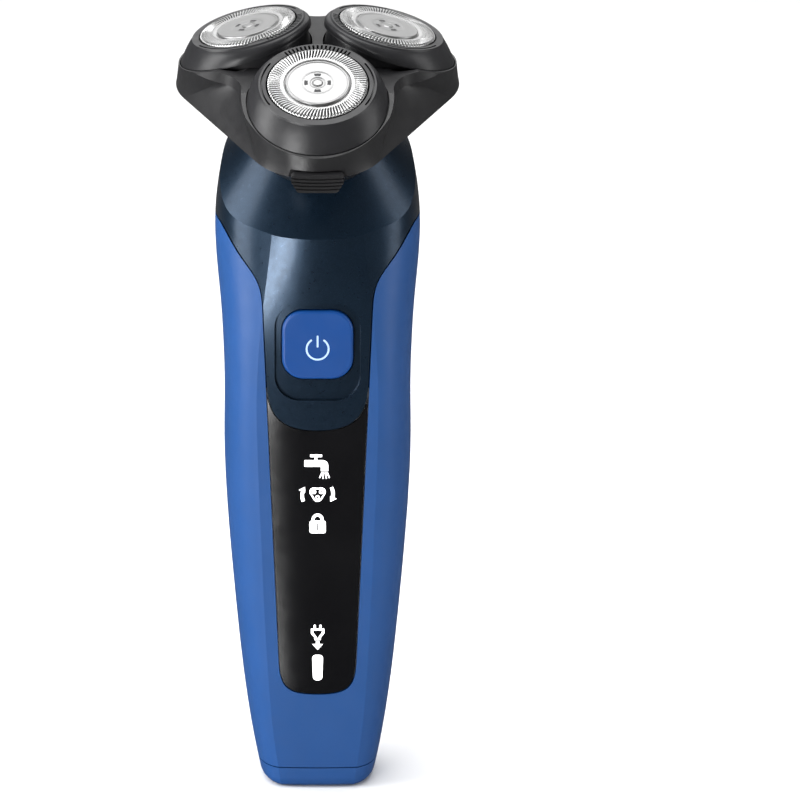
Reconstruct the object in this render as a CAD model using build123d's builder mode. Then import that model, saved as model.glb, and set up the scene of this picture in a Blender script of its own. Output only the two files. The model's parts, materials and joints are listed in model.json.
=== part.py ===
# Rotary electric shaver: three floating shaving heads on a hinged, pull-off shaving unit, and a handle.
#
# Millimetres, +Z up the handle, -Y out of the front, where the power button is. The origin is the middle of
# the charging inlet's mouth, in the flat underside of the bottom cap. The shaving unit leans forward, so it
# has its own plane, HEAD: its local x is to the right, local y runs rearwards and up, and local z is the
# shaving unit's axis. Each of the three heads leans outward from that plane and has a plane of its own,
# which head_plane() gives.
from build123d import *

import os
from math import acos, atan2, cos, degrees, pi, radians, sin, sqrt, tan

# ---- driving dimensions -------------------------------------------------------------------------------
# Handle: height above the foot, half width, front face, rear face, half width of the flattened front, and
# how far the middle of the front stands out from its two edges.
STATIONS = [
    (0, 12.6, -12.7, 12.4, 8.0, 0.35),
    (10, 14.65, -13.5, 14.0, 9.4, 0.35),
    (20, 16.15, -14.25, 15.2, 10.4, 0.35),
    (30, 17.3, -14.9, 16.1, 11.05, 0.35),
    (40, 18.25, -15.5, 16.7, 11.55, 0.35),
    (50, 19.1, -16.0, 17.2, 11.95, 0.35),
    (60, 19.85, -16.4, 17.6, 12.3, 0.35),
    (70, 20.4, -16.8, 18.0, 12.7, 0.35),
    (80, 20.6, -17.2, 18.8, 13.0, 0.35),
    (90, 20.45, -17.65, 20.2, 13.1, 0.37),
    (100, 20.65, -18.1, 22.3, 12.7, 0.5),
    (110, 21.2, -18.65, 24.4, 11.8, 0.95),
    (120, 22.05, -19.3, 26.0, 10.5, 1.5),
    (130, 22.15, -19.75, 26.4, 9.5, 1.85),
    (140, 20.8, -19.6, 25.3, 9.0, 1.95),
    (150, 18.8, -18.8, 22.9, 8.6, 1.95),
    (160, 16.6, -17.4, 19.6, 8.2, 1.9),
]
SIDE_Y = 1.0  # where the handle is widest, front to rear
WALL = 2.0
SEAM = 0.12  # half of the gap between neighbouring covers
BOTTOM_SEAM_Z = 5.0
BOTTOM_ROUND = 2.8

HEAD_TILT = 19.0  # forward lean of the shaving unit
HEAD_CENTRE = (0, -3.9, 164.7)
UNIT_TILT = 14.7  # outward lean of each head
UNIT_RISE = 1.25  # the caps' rim centres stand this much above HEAD
EDGE_TILT = 5.5  # a ring carrier's lower edge leans outward by this much more than its cap
EDGE_LEVEL = -3.8  # that edge below the cap's rim, on the head's axis
UNIT_ANGLES = {"front": -90, "right": 30, "left": 150}
RING_PIVOT = -6.8  # height of a ring carrier's tilt axis in its own frame, below the cap's rim
CAP_PIVOT = -3.7  # height of the cap's tilt axis
CAP_RADIUS = 10.5

GEAR_MODULE = 0.925
CENTRE_TEETH, SPINDLE_TEETH = 18, 16
PRESSURE_ANGLE = 20
BACKLASH = 0.14
SPINDLE_RADIUS = GEAR_MODULE * (CENTRE_TEETH + SPINDLE_TEETH) / 2  # shaving unit's axis to a spindle's
UNIT_RADIUS = SPINDLE_RADIUS - RING_PIVOT * sin(radians(UNIT_TILT))  # ... and to a cap's rim centre

NECK_TOP = -20.0  # along the shaving unit's axis, as are the levels below
CHAMBER_FOOT = -19.6
SPLIT = -13.0  # between the head frame and the hair chamber
GEAR_TOP, GEAR_FOOT = -14.9, -17.1
RUN = 0.05  # radial clearance of a running fit

BUTTON_SIZE, BUTTON_Z = 15.2, 103.3
BUTTON_CORNER = 4.6

os.makedirs("parts", exist_ok=True)


# ---- frames -------------------------------------------------------------------------------------------
def lean(angle):
    """Unit vector of an axis leaning forward by angle from +Z."""
    return (0, -sin(radians(angle)), cos(radians(angle)))


HEAD = Plane(origin=HEAD_CENTRE, x_dir=(1, 0, 0), z_dir=lean(HEAD_TILT))


def head_plane(unit):
    """Plane of one shaving head: origin at the cap's rim centre, x outward, z along its own axis."""
    a = radians(UNIT_ANGLES[unit])
    d = radians(UNIT_TILT)
    outward = HEAD.x_dir * cos(a) + HEAD.y_dir * sin(a)
    return Plane(
        origin=HEAD.origin + outward * UNIT_RADIUS + HEAD.z_dir * UNIT_RISE,
        x_dir=outward * cos(d) - HEAD.z_dir * sin(d),
        z_dir=HEAD.z_dir * cos(d) + outward * sin(d),
    )


def spindle_plane(unit):
    """Plane of one spindle: on the shaving unit's plane, x outward, z parallel to the unit's axis."""
    a = radians(UNIT_ANGLES[unit])
    outward = HEAD.x_dir * cos(a) + HEAD.y_dir * sin(a)
    return Plane(origin=HEAD.origin + outward * SPINDLE_RADIUS, x_dir=outward, z_dir=HEAD.z_dir)


def edge_plane(plane, height=0.0):
    """Plane of a ring carrier's lower edge, or one at a height above it, from the plane of its head."""
    d = radians(EDGE_TILT)
    tilted = Plane(
        origin=plane.origin + plane.z_dir * EDGE_LEVEL,
        x_dir=plane.x_dir * cos(d) - plane.z_dir * sin(d),
        z_dir=plane.z_dir * cos(d) + plane.x_dir * sin(d),
    )
    return tilted.offset(height)


def upright(plane):
    """The plane through plane's x and z axes, for profiles that are revolved: local y is plane's z."""
    return Plane(origin=plane.origin, x_dir=plane.x_dir, z_dir=-plane.y_dir)


def axis_of(plane):
    return Axis(plane.origin, plane.z_dir)


def save(part, name):
    part.label = name
    export_step(part, f"parts/{name}.step")
    return part


def turned(plane, points):
    """Solid of revolution about plane's z axis from (radius, height) points."""
    with BuildPart(mode=Mode.PRIVATE) as made:
        with BuildSketch(upright(plane)):
            with BuildLine():
                Polyline(*points, close=True)
            make_face()
        revolve(axis=axis_of(plane))
    return made.part


def tube(plane, outer, inner, low, high):
    return turned(plane, [(inner, low), (outer, low), (outer, high), (inner, high)])


def rod(plane, radius, low, high):
    return tube(plane, radius, 0, low, high)


def only(part):
    """The part with nothing but its largest solid, so that slivers of a cut don't stay."""
    biggest = max(part.solids(), key=lambda s: s.volume)
    return Part([biggest])


# ---- the handle's form --------------------------------------------------------------------------------
def handle_section(z, half, front, rear, flat, crown, inset):
    """One cross-section: a slightly crowned front, and full flanks that run round to the rear."""
    half, front, rear, flat = half - inset, front + inset, rear - inset, flat - 0.6 * inset
    edge, pull = front + crown, front - crown / 3
    lead = 0.08 + 0.06 * crown  # how soon the flank turns away from the front's edge
    with BuildSketch(Plane.XY.offset(z), mode=Mode.PRIVATE) as section:
        with BuildLine():
            Bezier((-flat, edge), (-0.4 * flat, pull), (0.4 * flat, pull), (flat, edge))
            for k in (1, -1):
                Bezier(
                    (k * flat, edge),
                    (k * (flat + 0.62 * (half - flat)), edge + lead * (SIDE_Y - edge)),
                    (k * half, SIDE_Y - 0.62 * (SIDE_Y - edge)),
                    (k * half, SIDE_Y),
                )
                Bezier(
                    (k * half, SIDE_Y),
                    (k * half, SIDE_Y + 0.62 * (rear - SIDE_Y)),
                    (k * 0.60 * half, rear),
                    (0, rear),
                )
        make_face()
    return section.sketch


# Outside of the shoulder: a flared neck about the shaving unit's axis, from the neck's top to past the crest.
SHOULDER_POINTS = [(17.0, NECK_TOP), (21.9, -25.2), (30.2, -34.0)]


def shoulder_cutter(sink):
    """What lies outside the flared neck, sink lower along the unit's axis."""
    start, middle, end = [(r, h - sink) for r, h in SHOULDER_POINTS]
    with BuildPart(mode=Mode.PRIVATE) as cutter:
        with BuildSketch(upright(HEAD)):
            with BuildLine():
                ThreePointArc(start, middle, end)
                Polyline(end, (end[0] + 30, end[1]), (end[0] + 30, 10), (0, 10), (0, start[1]), start)
            make_face()
        revolve(axis=axis_of(HEAD))
    return cutter.part


def handle_form(inset, sink=None):
    """The handle's outside, drawn in by inset all round."""
    sections = [handle_section(*station, inset) for station in STATIONS]
    with BuildPart(mode=Mode.PRIVATE) as form:
        loft(sections)
        add(shoulder_cutter(inset if sink is None else sink), mode=Mode.SUBTRACT)
    return form.part


def side_curve(inset):
    """Right-hand edge of the blue shell's front opening, in (x, z), from the display up to the shoulder."""
    return [(8.45 - inset, 30.0), (11.6 - inset, 109.0)], [
        (11.6 - inset, 109.0),
        (12.7 - inset, 116.6),
        (16.8 - inset, 122.4 + inset),
        (20.8 - inset, 128.2 + inset),
        (27.0, 132.6 + inset),
    ]


def front_opening(inset):
    """Front view of all that isn't blue: the display's long field, and the collar over the shoulder."""
    straight, collar = side_curve(inset)
    foot = 22.9 + inset
    with BuildSketch(Plane.XZ, mode=Mode.PRIVATE) as outline:
        with BuildLine():
            for k in (1, -1):
                Line(*[(k * x, z) for x, z in straight])
                Spline([(k * x, z) for x, z in collar], tangents=[(k * 0.04, 1), (k * 1, 0.55)])
                corner = (k * (8.1 - inset), foot + 1.6)
                Bezier((0, foot), (k * (6.6 - inset), foot), corner, (k * straight[0][0], 30))
            Polyline((27, collar[-1][1]), (27, 175), (-27, 175), (-27, collar[-1][1]))
        make_face()
    return outline.sketch


def collar_region(inset):
    """Front view of the dark collar at the sides and the rear."""
    z_side = 132.6 + inset
    z_mid = 121.0 + inset
    with BuildSketch(Plane.XZ, mode=Mode.PRIVATE) as outline:
        with BuildLine():
            knee_x, knee_z = 20.8 - inset, 128.2 + inset
            Spline((-27, z_side), (-knee_x, knee_z), (0, z_mid), (knee_x, knee_z), (27, z_side))
            Polyline((27, z_side), (27, 175), (-27, 175), (-27, z_side))
        make_face()
    return outline.sketch


def panel_foot(inset):
    """Front view of the dark housing's rounded lower end, down to which it covers the display."""
    foot, shoulder, half = 84.2 + inset, 94.0, 14.0
    with BuildSketch(Plane.XZ, mode=Mode.PRIVATE) as outline:
        with BuildLine():
            Bezier((0, foot), (6.8 - inset, foot), (10.4 - inset, foot + 2.4), (10.9 - inset, shoulder))
            Bezier((0, foot), (-6.8 + inset, foot), (-10.4 + inset, foot + 2.4), (-10.9 + inset, shoulder))
            Polyline((10.9 - inset, shoulder), (half, shoulder + 4), (half, 112), (30, 113), (30, 175))
            Polyline((-10.9 + inset, shoulder), (-half, shoulder + 4), (-half, 112), (-30, 113), (-30, 175))
            Line((30, 175), (-30, 175))
        make_face()
    return outline.sketch


def slab(sketch, y_from, y_to):
    """The front-view sketch stretched front to rear between two values of y."""
    placed = Pos(0, y_from, 0) * sketch
    return extrude(placed, y_to - y_from, dir=(0, 1, 0))


FRONT_END, MIDDLE, REAR_END = -45, -6, 45


def rounded_square(width, height, radius, centre_z):
    with BuildSketch(Plane.XZ, mode=Mode.PRIVATE) as outline:
        with Locations((0, centre_z)):
            RectangleRounded(width, height, radius)
    return outline.sketch


def rear_field(inset):
    """Front view of the soft grip let into the handle's rear."""
    low, high, half_low, half_high = 17 + inset, 117 - inset, 9.0 - inset, 13.0 - inset
    with BuildSketch(Plane.XZ, mode=Mode.PRIVATE) as outline:
        with BuildLine():
            for k in (1, -1):
                Bezier((0, low), (k * 0.7 * half_low, low), (k * half_low, low + 3), (k * half_low, low + 9))
                side, top = k * half_high, high - 14
                Line((k * half_low, low + 9), (side, top))
                Bezier((side, top), (side, high - 4), (0.65 * side, high), (0, high))
        make_face()
    return outline.sketch


# ---- covers of the handle -----------------------------------------------------------------------------
GRIP_RIBS = [24 + 3.4 * i for i in range(25)]
RECESS_SIZE, RECESS_DEPTH = (18.4, 21.6), 0.9
BUTTON_GAP = 0.25
SCREW_POINTS = [(-7.5, -6.5), (7.5, -6.5)]

outer_form, cavity = handle_form(0), handle_form(WALL, 2.2)
with BuildPart() as rounded_form:
    add(outer_form)
    fillet(rounded_form.faces().sort_by(Axis.Z)[0].edges(), BOTTOM_ROUND)
shell = rounded_form.part - cavity

# Blue grip shell: the lower handle and its flanks, open at the front for the display and the housing.
below_seam = Pos(0, 0, BOTTOM_SEAM_Z + SEAM - 50) * Box(90, 90, 100)
not_blue = slab(front_opening(-SEAM), FRONT_END, MIDDLE) + slab(collar_region(-SEAM), FRONT_END, REAR_END)
rear_recess = slab(rear_field(0), 0, REAR_END) - handle_form(1.2)
save(only(shell - not_blue - below_seam - rear_recess), "grip_shell")

# Dark housing: the collar over the shoulder and a tongue that runs down the front, round the button.
dark = slab(front_opening(SEAM), FRONT_END, MIDDLE) + slab(collar_region(SEAM), FRONT_END, REAR_END)
thumb_outline = rounded_square(*RECESS_SIZE, 5.4, BUTTON_Z - 1.6)
thumb_recess = slab(thumb_outline, FRONT_END, MIDDLE) - handle_form(RECESS_DEPTH)
hole_size = BUTTON_SIZE + 2 * BUTTON_GAP
hole_outline = rounded_square(hole_size, hole_size, BUTTON_CORNER + BUTTON_GAP, BUTTON_Z)
button_hole = slab(hole_outline, FRONT_END, MIDDLE)
neck_hole = rod(HEAD, 13.5, NECK_TOP - 8, NECK_TOP + 8)
save(
    only((shell & dark & slab(panel_foot(0), FRONT_END, REAR_END)) - thumb_recess - button_hole - neck_hole),
    "front_housing",
)

# Glossy display field below the tongue, and the light box behind it.
display_field = slab(front_opening(SEAM), FRONT_END, MIDDLE)
display_field -= slab(panel_foot(-2 * SEAM), FRONT_END, REAR_END)
save(only((handle_form(0.2) - handle_form(1.9)) & display_field), "display_panel")
backing = slab(front_opening(-1.2), FRONT_END, MIDDLE) & (Pos(0, 0, 53) * Box(60, 60, 80))
save(only((handle_form(WALL + 0.05) - handle_form(WALL + 0.85)) & backing), "light_box")

# Soft ribbed grip on the rear.
rib_gaps = Part() + [Pos(0, 25, z) * Box(60, 50, 1.1) for z in GRIP_RIBS]
rear_grip = (rounded_form.part - handle_form(1.2)) & slab(rear_field(SEAM), 0, REAR_END)
save(only(rear_grip - (rib_gaps - handle_form(0.55))), "rear_grip")

# Bottom cap with the charging inlet's hole and two countersunk screws.
with BuildSketch() as inlet_hole:
    SlotOverall(10.6, 6.4)
cap_floor = rounded_form.part & (Pos(0, 0, WALL / 2) * Box(90, 90, WALL))
cap_rim = shell & (Pos(0, 0, (BOTTOM_SEAM_Z - SEAM) / 2) * Box(90, 90, BOTTOM_SEAM_Z - SEAM))
with BuildPart() as bottom_cap:
    add(only(cap_floor + cap_rim))
    extrude(inlet_hole.sketch, 30, both=True, mode=Mode.SUBTRACT)
    for x, y in SCREW_POINTS:
        with Locations((x, y, 0)):
            Cylinder(1.0, 12, mode=Mode.SUBTRACT)
            Cylinder(2.0, 2.4, mode=Mode.SUBTRACT)
save(bottom_cap.part, "bottom_cap")


# ---- power button -------------------------------------------------------------------------------------
BUTTON_LEAN = 3.0
BUTTON_PROUD, FLANGE_TOP, FLANGE_FOOT, PLUNGER_FOOT = 0.15, -2.85, -3.4, -3.9  # heights on the button's axis
BUTTON = Plane(
    origin=(0, -18.25, BUTTON_Z),
    x_dir=(1, 0, 0),
    z_dir=(0, -cos(radians(BUTTON_LEAN)), -sin(radians(BUTTON_LEAN))),
)

with BuildPart() as power_button:
    with BuildSketch(BUTTON.offset(FLANGE_TOP)):
        RectangleRounded(BUTTON_SIZE, BUTTON_SIZE, BUTTON_CORNER)
    extrude(amount=BUTTON_PROUD - FLANGE_TOP)
    fillet(power_button.faces().sort_by(axis_of(BUTTON))[-1].edges(), 0.7)
    with BuildSketch(BUTTON.offset(FLANGE_FOOT)):
        RectangleRounded(BUTTON_SIZE + 2, BUTTON_SIZE + 2, 5.2)
    extrude(amount=FLANGE_TOP - FLANGE_FOOT)
    with BuildSketch(BUTTON.offset(PLUNGER_FOOT)):
        Circle(2.0)
    extrude(amount=FLANGE_FOOT - PLUNGER_FOOT)
save(power_button.part, "power_button")

# ---- inside the handle --------------------------------------------------------------------------------
BATTERY_Y, BATTERY_RADIUS, BATTERY_LOW, BATTERY_HIGH = 3.0, 7.0, 24.0, 73.0
MOTOR_TOP, MOTOR_FOOT, MOTOR_RADIUS = -31.0, -52.0, 9.0
BRACKET_TOP = -29.5
CHASSIS_FRONT, CHASSIS_REAR = -8.0, -6.2
NECK_FLOOR_TOP, NECK_FLOOR_FOOT = -24.3, -25.5


def block(x0, x1, y0, y1, z0, z1):
    """Box between opposite corners."""
    box = Box(x1 - x0, y1 - y0, z1 - z0, mode=Mode.PRIVATE)
    return Pos((x0 + x1) / 2, (y0 + y1) / 2, (z0 + z1) / 2) * box


with BuildPart() as chassis:
    add(block(-9, 9, CHASSIS_FRONT, CHASSIS_REAR, WALL, 108))
    for k in (1, -1):
        add(block(min(6 * k, 9 * k), max(6 * k, 9 * k), -7.5, -3.0, 104, 140))
    for z in (32, 58):
        with Locations((0, BATTERY_Y, z + 4)):
            Cylinder(BATTERY_RADIUS + 1.4, 8)
        add(block(-5, 5, CHASSIS_REAR, -3, z, z + 8))
        with Locations((0, BATTERY_Y, z + 4)):
            Cylinder(BATTERY_RADIUS, 9, mode=Mode.SUBTRACT)
    add(block(-5, 5, CHASSIS_REAR, 8, BATTERY_LOW - 1.9, BATTERY_LOW - 0.4))
    add(block(-5, 5, CHASSIS_REAR, 8, BATTERY_HIGH + 1.4, BATTERY_HIGH + 2.9))
    for x, y in SCREW_POINTS:
        with Locations((x, y, WALL + 4)):
            Cylinder(2.2, 8)
            Cylinder(0.9, 9, mode=Mode.SUBTRACT)
    with BuildSketch(HEAD.offset(MOTOR_TOP)):
        Rectangle(60, 60)
    extrude(amount=20, mode=Mode.SUBTRACT)
save(chassis.part, "chassis")

with BuildPart() as battery:
    with Locations((0, BATTERY_Y, (BATTERY_LOW + BATTERY_HIGH) / 2)):
        Cylinder(BATTERY_RADIUS, BATTERY_HIGH - BATTERY_LOW)
    with Locations((0, BATTERY_Y, BATTERY_HIGH + 0.5)):
        Cylinder(2.8, 1.0)
save(battery.part, "battery")
save(block(-3.5, 3.5, CHASSIS_REAR, 7, BATTERY_LOW - 0.4, BATTERY_LOW), "battery_contact_lower")
save(block(-3.5, 3.5, CHASSIS_REAR, 7, BATTERY_HIGH + 1.0, BATTERY_HIGH + 1.4), "battery_contact_upper")

with BuildPart() as circuit_board:
    add(block(-8.5, 8.5, CHASSIS_FRONT - 1.6, CHASSIS_FRONT, 20, 114))
    for x, z, w, h, d in ((0, 50, 7, 7, 1.0), (-4, 68, 4, 5, 1.4), (4.5, 70, 3, 6, 1.2), (0, 86, 5, 4, 1.0)):
        add(block(x - w / 2, x + w / 2, CHASSIS_FRONT - 1.6 - d, CHASSIS_FRONT - 1.6, z - h / 2, z + h / 2))
save(circuit_board.part, "circuit_board")

with BuildPart() as tactile_switch:
    add(block(-3, 3, CHASSIS_FRONT - 5.0, CHASSIS_FRONT - 1.6, BUTTON_Z - 3.1, BUTTON_Z + 2.9))
    with BuildSketch(Plane.XZ.offset(5.0 - CHASSIS_FRONT)):
        with Locations((0, BUTTON_Z - 0.2)):
            Circle(1.6)
    extrude(amount=0.6)
save(tactile_switch.part, "tactile_switch")

with BuildPart() as charging_inlet:
    with BuildSketch():
        SlotOverall(10.5, 6.3)
    extrude(amount=12)
    with BuildSketch(Plane.XY.offset(WALL)):
        SlotOverall(13, 8.8)
    extrude(amount=1.2)
    with BuildSketch():
        SlotOverall(8.4, 3.8)
    extrude(amount=10.8, mode=Mode.SUBTRACT)
    with Locations((-2.1, 0, 6), (2.1, 0, 6)):
        Cylinder(0.6, 30, mode=Mode.SUBTRACT)
    add(block(-20, 20, -20, 20, -1, 0.3), mode=Mode.SUBTRACT)
save(charging_inlet.part, "charging_inlet")
for x, side in ((-2.1, "left"), (2.1, "right")):
    with BuildPart() as charging_pin:
        with Locations((x, 0, 9)):
            Cylinder(0.6, 11)
    save(charging_pin.part, f"charging_pin_{side}")
for (x, y), side in zip(SCREW_POINTS, ("left", "right")):
    with BuildPart() as cap_screw:
        with Locations((x, y, 0.75)):
            Cylinder(1.9, 0.9)
        with Locations((x, y, 5.1)):
            Cylinder(0.9, 7.8)
    save(cap_screw.part, f"cap_screw_{side}")

# Neck ring: the socket the shaving unit plugs into, closed below but for the motor shaft's seal.
neck_ring = turned(
    HEAD,
    [
        (2.4, NECK_FLOOR_FOOT),
        (13.45, NECK_FLOOR_FOOT),
        (13.45, -23.4),
        (15.5, -23.4),
        (15.5, NECK_TOP - 2.25),
        (13.45, NECK_TOP - 2.25),
        (13.45, NECK_TOP),
        (11.3, NECK_TOP),
        (11.3, NECK_FLOOR_TOP),
        (2.4, NECK_FLOOR_TOP),
    ],
)
save(neck_ring, "neck_ring")
save(tube(HEAD, 2.4, 1.04, NECK_FLOOR_FOOT, NECK_FLOOR_TOP), "shaft_seal")

with BuildPart() as motor_bracket:
    add(rod(HEAD, 13, MOTOR_TOP, BRACKET_TOP))
    with BuildSketch(HEAD.offset(MOTOR_TOP)):
        with Locations((-10, 0), (10, 0)):
            Circle(1.8)
    extrude(amount=NECK_FLOOR_FOOT - MOTOR_TOP)
    add(rod(HEAD, 3.0, MOTOR_TOP - 1, BRACKET_TOP + 1), mode=Mode.SUBTRACT)
    with BuildSketch(HEAD.offset(MOTOR_TOP - 1)):
        with Locations((0, -5.8), (0, 5.8)):
            Circle(1.0)
    extrude(amount=5, mode=Mode.SUBTRACT)
save(motor_bracket.part, "motor_bracket")

with BuildPart() as motor_can:
    add(
        turned(
            HEAD,
            [
                (0, MOTOR_FOOT),
                (MOTOR_RADIUS, MOTOR_FOOT),
                (MOTOR_RADIUS, MOTOR_TOP),
                (3.0, MOTOR_TOP),
                (3.0, BRACKET_TOP),
                (1.05, BRACKET_TOP),
                (1.05, MOTOR_TOP - 1.5),
                (6.6, MOTOR_TOP - 1.5),
                (6.6, MOTOR_FOOT + 1.5),
                (1.05, MOTOR_FOOT + 1.5),
                (1.05, MOTOR_FOOT + 0.5),
                (0, MOTOR_FOOT + 0.5),
            ],
        )
    )
    with BuildSketch(HEAD.offset(MOTOR_TOP - 1.4)):
        with Locations((0, -5.8), (0, 5.8)):
            Circle(1.0)
    extrude(amount=3, mode=Mode.SUBTRACT)
save(motor_can.part, "motor_can")
save(tube(HEAD, 6.0, 1.0, MOTOR_FOOT + 2.0, MOTOR_TOP - 2.0), "motor_rotor")
save(rod(HEAD, 1.0, MOTOR_FOOT + 0.7, -20.0), "motor_shaft")
for v, where in ((-5.8, "front"), (5.8, "rear")):
    with BuildPart() as motor_screw:
        with BuildSketch(HEAD.offset(MOTOR_TOP - 1.4)):
            with Locations((0, v)):
                Circle(1.0)
        extrude(amount=BRACKET_TOP - MOTOR_TOP + 1.4)
        with BuildSketch(HEAD.offset(BRACKET_TOP)):
            with Locations((0, v)):
                Circle(1.9)
        extrude(amount=1.0)
    save(motor_screw.part, f"motor_screw_{where}")

DRIVE_ACROSS, SOCKET_ACROSS = 3.4, 3.9
with BuildPart() as drive_coupling:
    with BuildSketch(HEAD.offset(-23.8)):
        RegularPolygon(DRIVE_ACROSS / 2, 6, major_radius=False)
    extrude(amount=5.6)
    add(rod(HEAD, 1.0, -30, -20.0), mode=Mode.SUBTRACT)
save(drive_coupling.part, "drive_coupling")

# ---- gear train of the shaving unit -------------------------------------------------------------------
ADDENDUM, DEDENDUM = 0.9 * GEAR_MODULE, 1.2 * GEAR_MODULE


def gear_outline(teeth):
    """Involute spur gear with a tooth centred on the local x axis."""
    pitch = GEAR_MODULE * teeth / 2
    base = pitch * cos(radians(PRESSURE_ANGLE))
    tip, root = pitch + ADDENDUM, pitch - DEDENDUM
    half = (pi * GEAR_MODULE / 2 - BACKLASH / 2) / (2 * pitch)

    def involute(r):
        a = acos(min(1.0, base / r))
        return tan(a) - a

    def flank_point(r, side):
        turn = side * (half + involute(pitch) - involute(r))
        return (r * cos(turn), r * sin(turn))

    radii = [base + (tip - base) * t / 4 for t in range(5)]
    right = [flank_point(r, -1) for r in radii]
    left = [flank_point(r, 1) for r in reversed(radii)]
    at_root = [(x * (root - 0.2) / base, y * (root - 0.2) / base) for x, y in (left[-1], right[0])]
    with BuildSketch(mode=Mode.PRIVATE) as tooth:
        with BuildLine():
            Spline(*right)
            Line(right[-1], left[0])
            Spline(*left)
            Polyline(left[-1], at_root[0], at_root[1], right[0])
        make_face()
    with BuildSketch(mode=Mode.PRIVATE) as outline:
        Circle(root)
        with PolarLocations(0, teeth):
            add(tooth.sketch)
    return outline.sketch


with BuildPart() as drive_gear:
    with BuildSketch(Plane.XY.offset(GEAR_FOOT)):
        add(gear_outline(CENTRE_TEETH))
    extrude(amount=GEAR_TOP - GEAR_FOOT)
    add(rod(Plane.XY, 4.0, -21.5, GEAR_FOOT))
    with BuildSketch(Plane.XY.offset(-21.5)):
        RegularPolygon(SOCKET_ACROSS / 2, 6, major_radius=False)
    extrude(amount=4.0, mode=Mode.SUBTRACT)
save(HEAD.location * drive_gear.part, "drive_gear")

SHAFT_TOP, TIP_FOOT, TIP_SHOULDER, TIP_TOP = [UNIT_RISE + z for z in (-6.9, -9.3, -8.0, -5.75)]
with BuildPart() as spindle_gear:
    with BuildSketch(Plane.XY.offset(GEAR_FOOT)):
        add(gear_outline(SPINDLE_TEETH))
    extrude(amount=GEAR_TOP - GEAR_FOOT)
    add(rod(Plane.XY, 1.5, -18.1, GEAR_FOOT))
    add(rod(Plane.XY, 1.6, GEAR_TOP, TIP_FOOT))
    add(rod(Plane.XY, 0.8, TIP_FOOT, SHAFT_TOP))
with BuildPart() as spindle_tip:
    add(rod(Plane.XY, 2.0, TIP_FOOT, TIP_SHOULDER))
    with BuildSketch(Plane.XY.offset(TIP_SHOULDER)):
        Rectangle(2.2, 2.2)
    extrude(amount=TIP_TOP - TIP_SHOULDER)
    add(rod(Plane.XY, 0.8, TIP_FOOT - 1, SHAFT_TOP), mode=Mode.SUBTRACT)
for unit in UNIT_ANGLES:
    save(spindle_plane(unit).location * spindle_gear.part, f"spindle_gear_{unit}")
    save(spindle_plane(unit).location * spindle_tip.part, f"spindle_tip_{unit}")

# ---- shaving unit: frame, chamber, hinge and latch ----------------------------------------------------
FRAME_OUT, FRAME_LOBE = 18.6, 14.7  # where the three lobes' centres are at the split, and their radius
COLLAR_OUT, COLLAR_LOBE, COLLAR_HOLLOW = 15.6, 16.3, 8.0
COLLAR_LEVEL, WEB_TOP, HOLLOW_TOP = -4.5, -2.2, -6.0
FRAME_WALL = 2.2
DECK_FOOT = -8.6
EDGE_RADIUS, EDGE_OFFSET = 14.75, 1.5  # ring carrier's lower edge, which stands outward of the cap's axis
BORE_GAP, BORE_DEPTH = 0.25, 1.85
SKIRT_BORE = 12.9
HINGE_V, HINGE_Z = 23.6, SPLIT
KNUCKLE = 1.5


def polar(distance, angle):
    return (distance * cos(radians(angle)), distance * sin(radians(angle)))


def hull(level, out, lobe):
    """Outline drawn tight round three circles."""
    with BuildSketch(Plane.XY.offset(level), mode=Mode.PRIVATE) as outline:
        with BuildLine():
            for a in UNIT_ANGLES.values():
                x, y = polar(out, a)
                CenterArc((x, y), lobe, a - 60, 120)
                dx, dy = polar(lobe, a + 60)
                nx, ny = polar(out, a + 120)
                Line((x + dx, y + dy), (nx + dx, ny + dy))
        make_face()
    return outline.sketch


def trefoil(level, out, lobe, hollow):
    """Outline of three circles with a hollow curve of radius hollow between neighbours."""
    reach = sqrt((lobe + hollow) ** 2 - 0.75 * out**2)
    centre = out / 2 + reach
    spread = 60 + degrees(atan2(sqrt(0.75) * out, reach))
    with BuildSketch(Plane.XY.offset(level), mode=Mode.PRIVATE) as outline:
        with BuildLine():
            for a in UNIT_ANGLES.values():
                x, y = polar(out, a)
                CenterArc((x, y), lobe, a - spread, 2 * spread)
                hx, hy = polar(centre, a + 60)
                CenterArc((hx, hy), hollow, a + 240 + (spread - 60), -2 * (spread - 60))
        make_face()
    return outline.sketch


def local_head(unit):
    """head_plane() as seen from the shaving unit's own plane."""
    a, d = UNIT_ANGLES[unit], radians(UNIT_TILT)
    x, y = polar(UNIT_RADIUS, a)
    ox, oy = polar(1, a)
    x_dir, z_dir = (ox * cos(d), oy * cos(d), -sin(d)), (ox * sin(d), oy * sin(d), cos(d))
    return Plane(origin=(x, y, UNIT_RISE), x_dir=x_dir, z_dir=z_dir)


def above(planes):
    """Everything above any of the planes."""
    with BuildPart(mode=Mode.PRIVATE) as half_spaces:
        for plane in planes:
            with BuildSketch(plane):
                Rectangle(120, 120)
            extrude(amount=30)
    return half_spaces.part


def across(v, z, radius, x0, x1):
    """Cylinder along x of the shaving unit's plane, from x0 to x1."""
    return Pos((x0 + x1) / 2, v, z) * Rot(0, 90, 0) * Cylinder(radius, x1 - x0, mode=Mode.PRIVATE)


TAB_FRONT, TAB_REAR, TAB_HIGH, TAB_LOW, TAB_TRAVEL = -34.0, -32.6, -11.5, -15.7, 0.6
TAB_RIBS = (-12.6, -13.4, -14.2, -15.0)
notch = block(-6.0, 6.0, -40, TAB_REAR + TAB_TRAVEL + 0.1, -22, TAB_HIGH + 0.3)

heads = [local_head(unit) for unit in UNIT_ANGLES]

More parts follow.
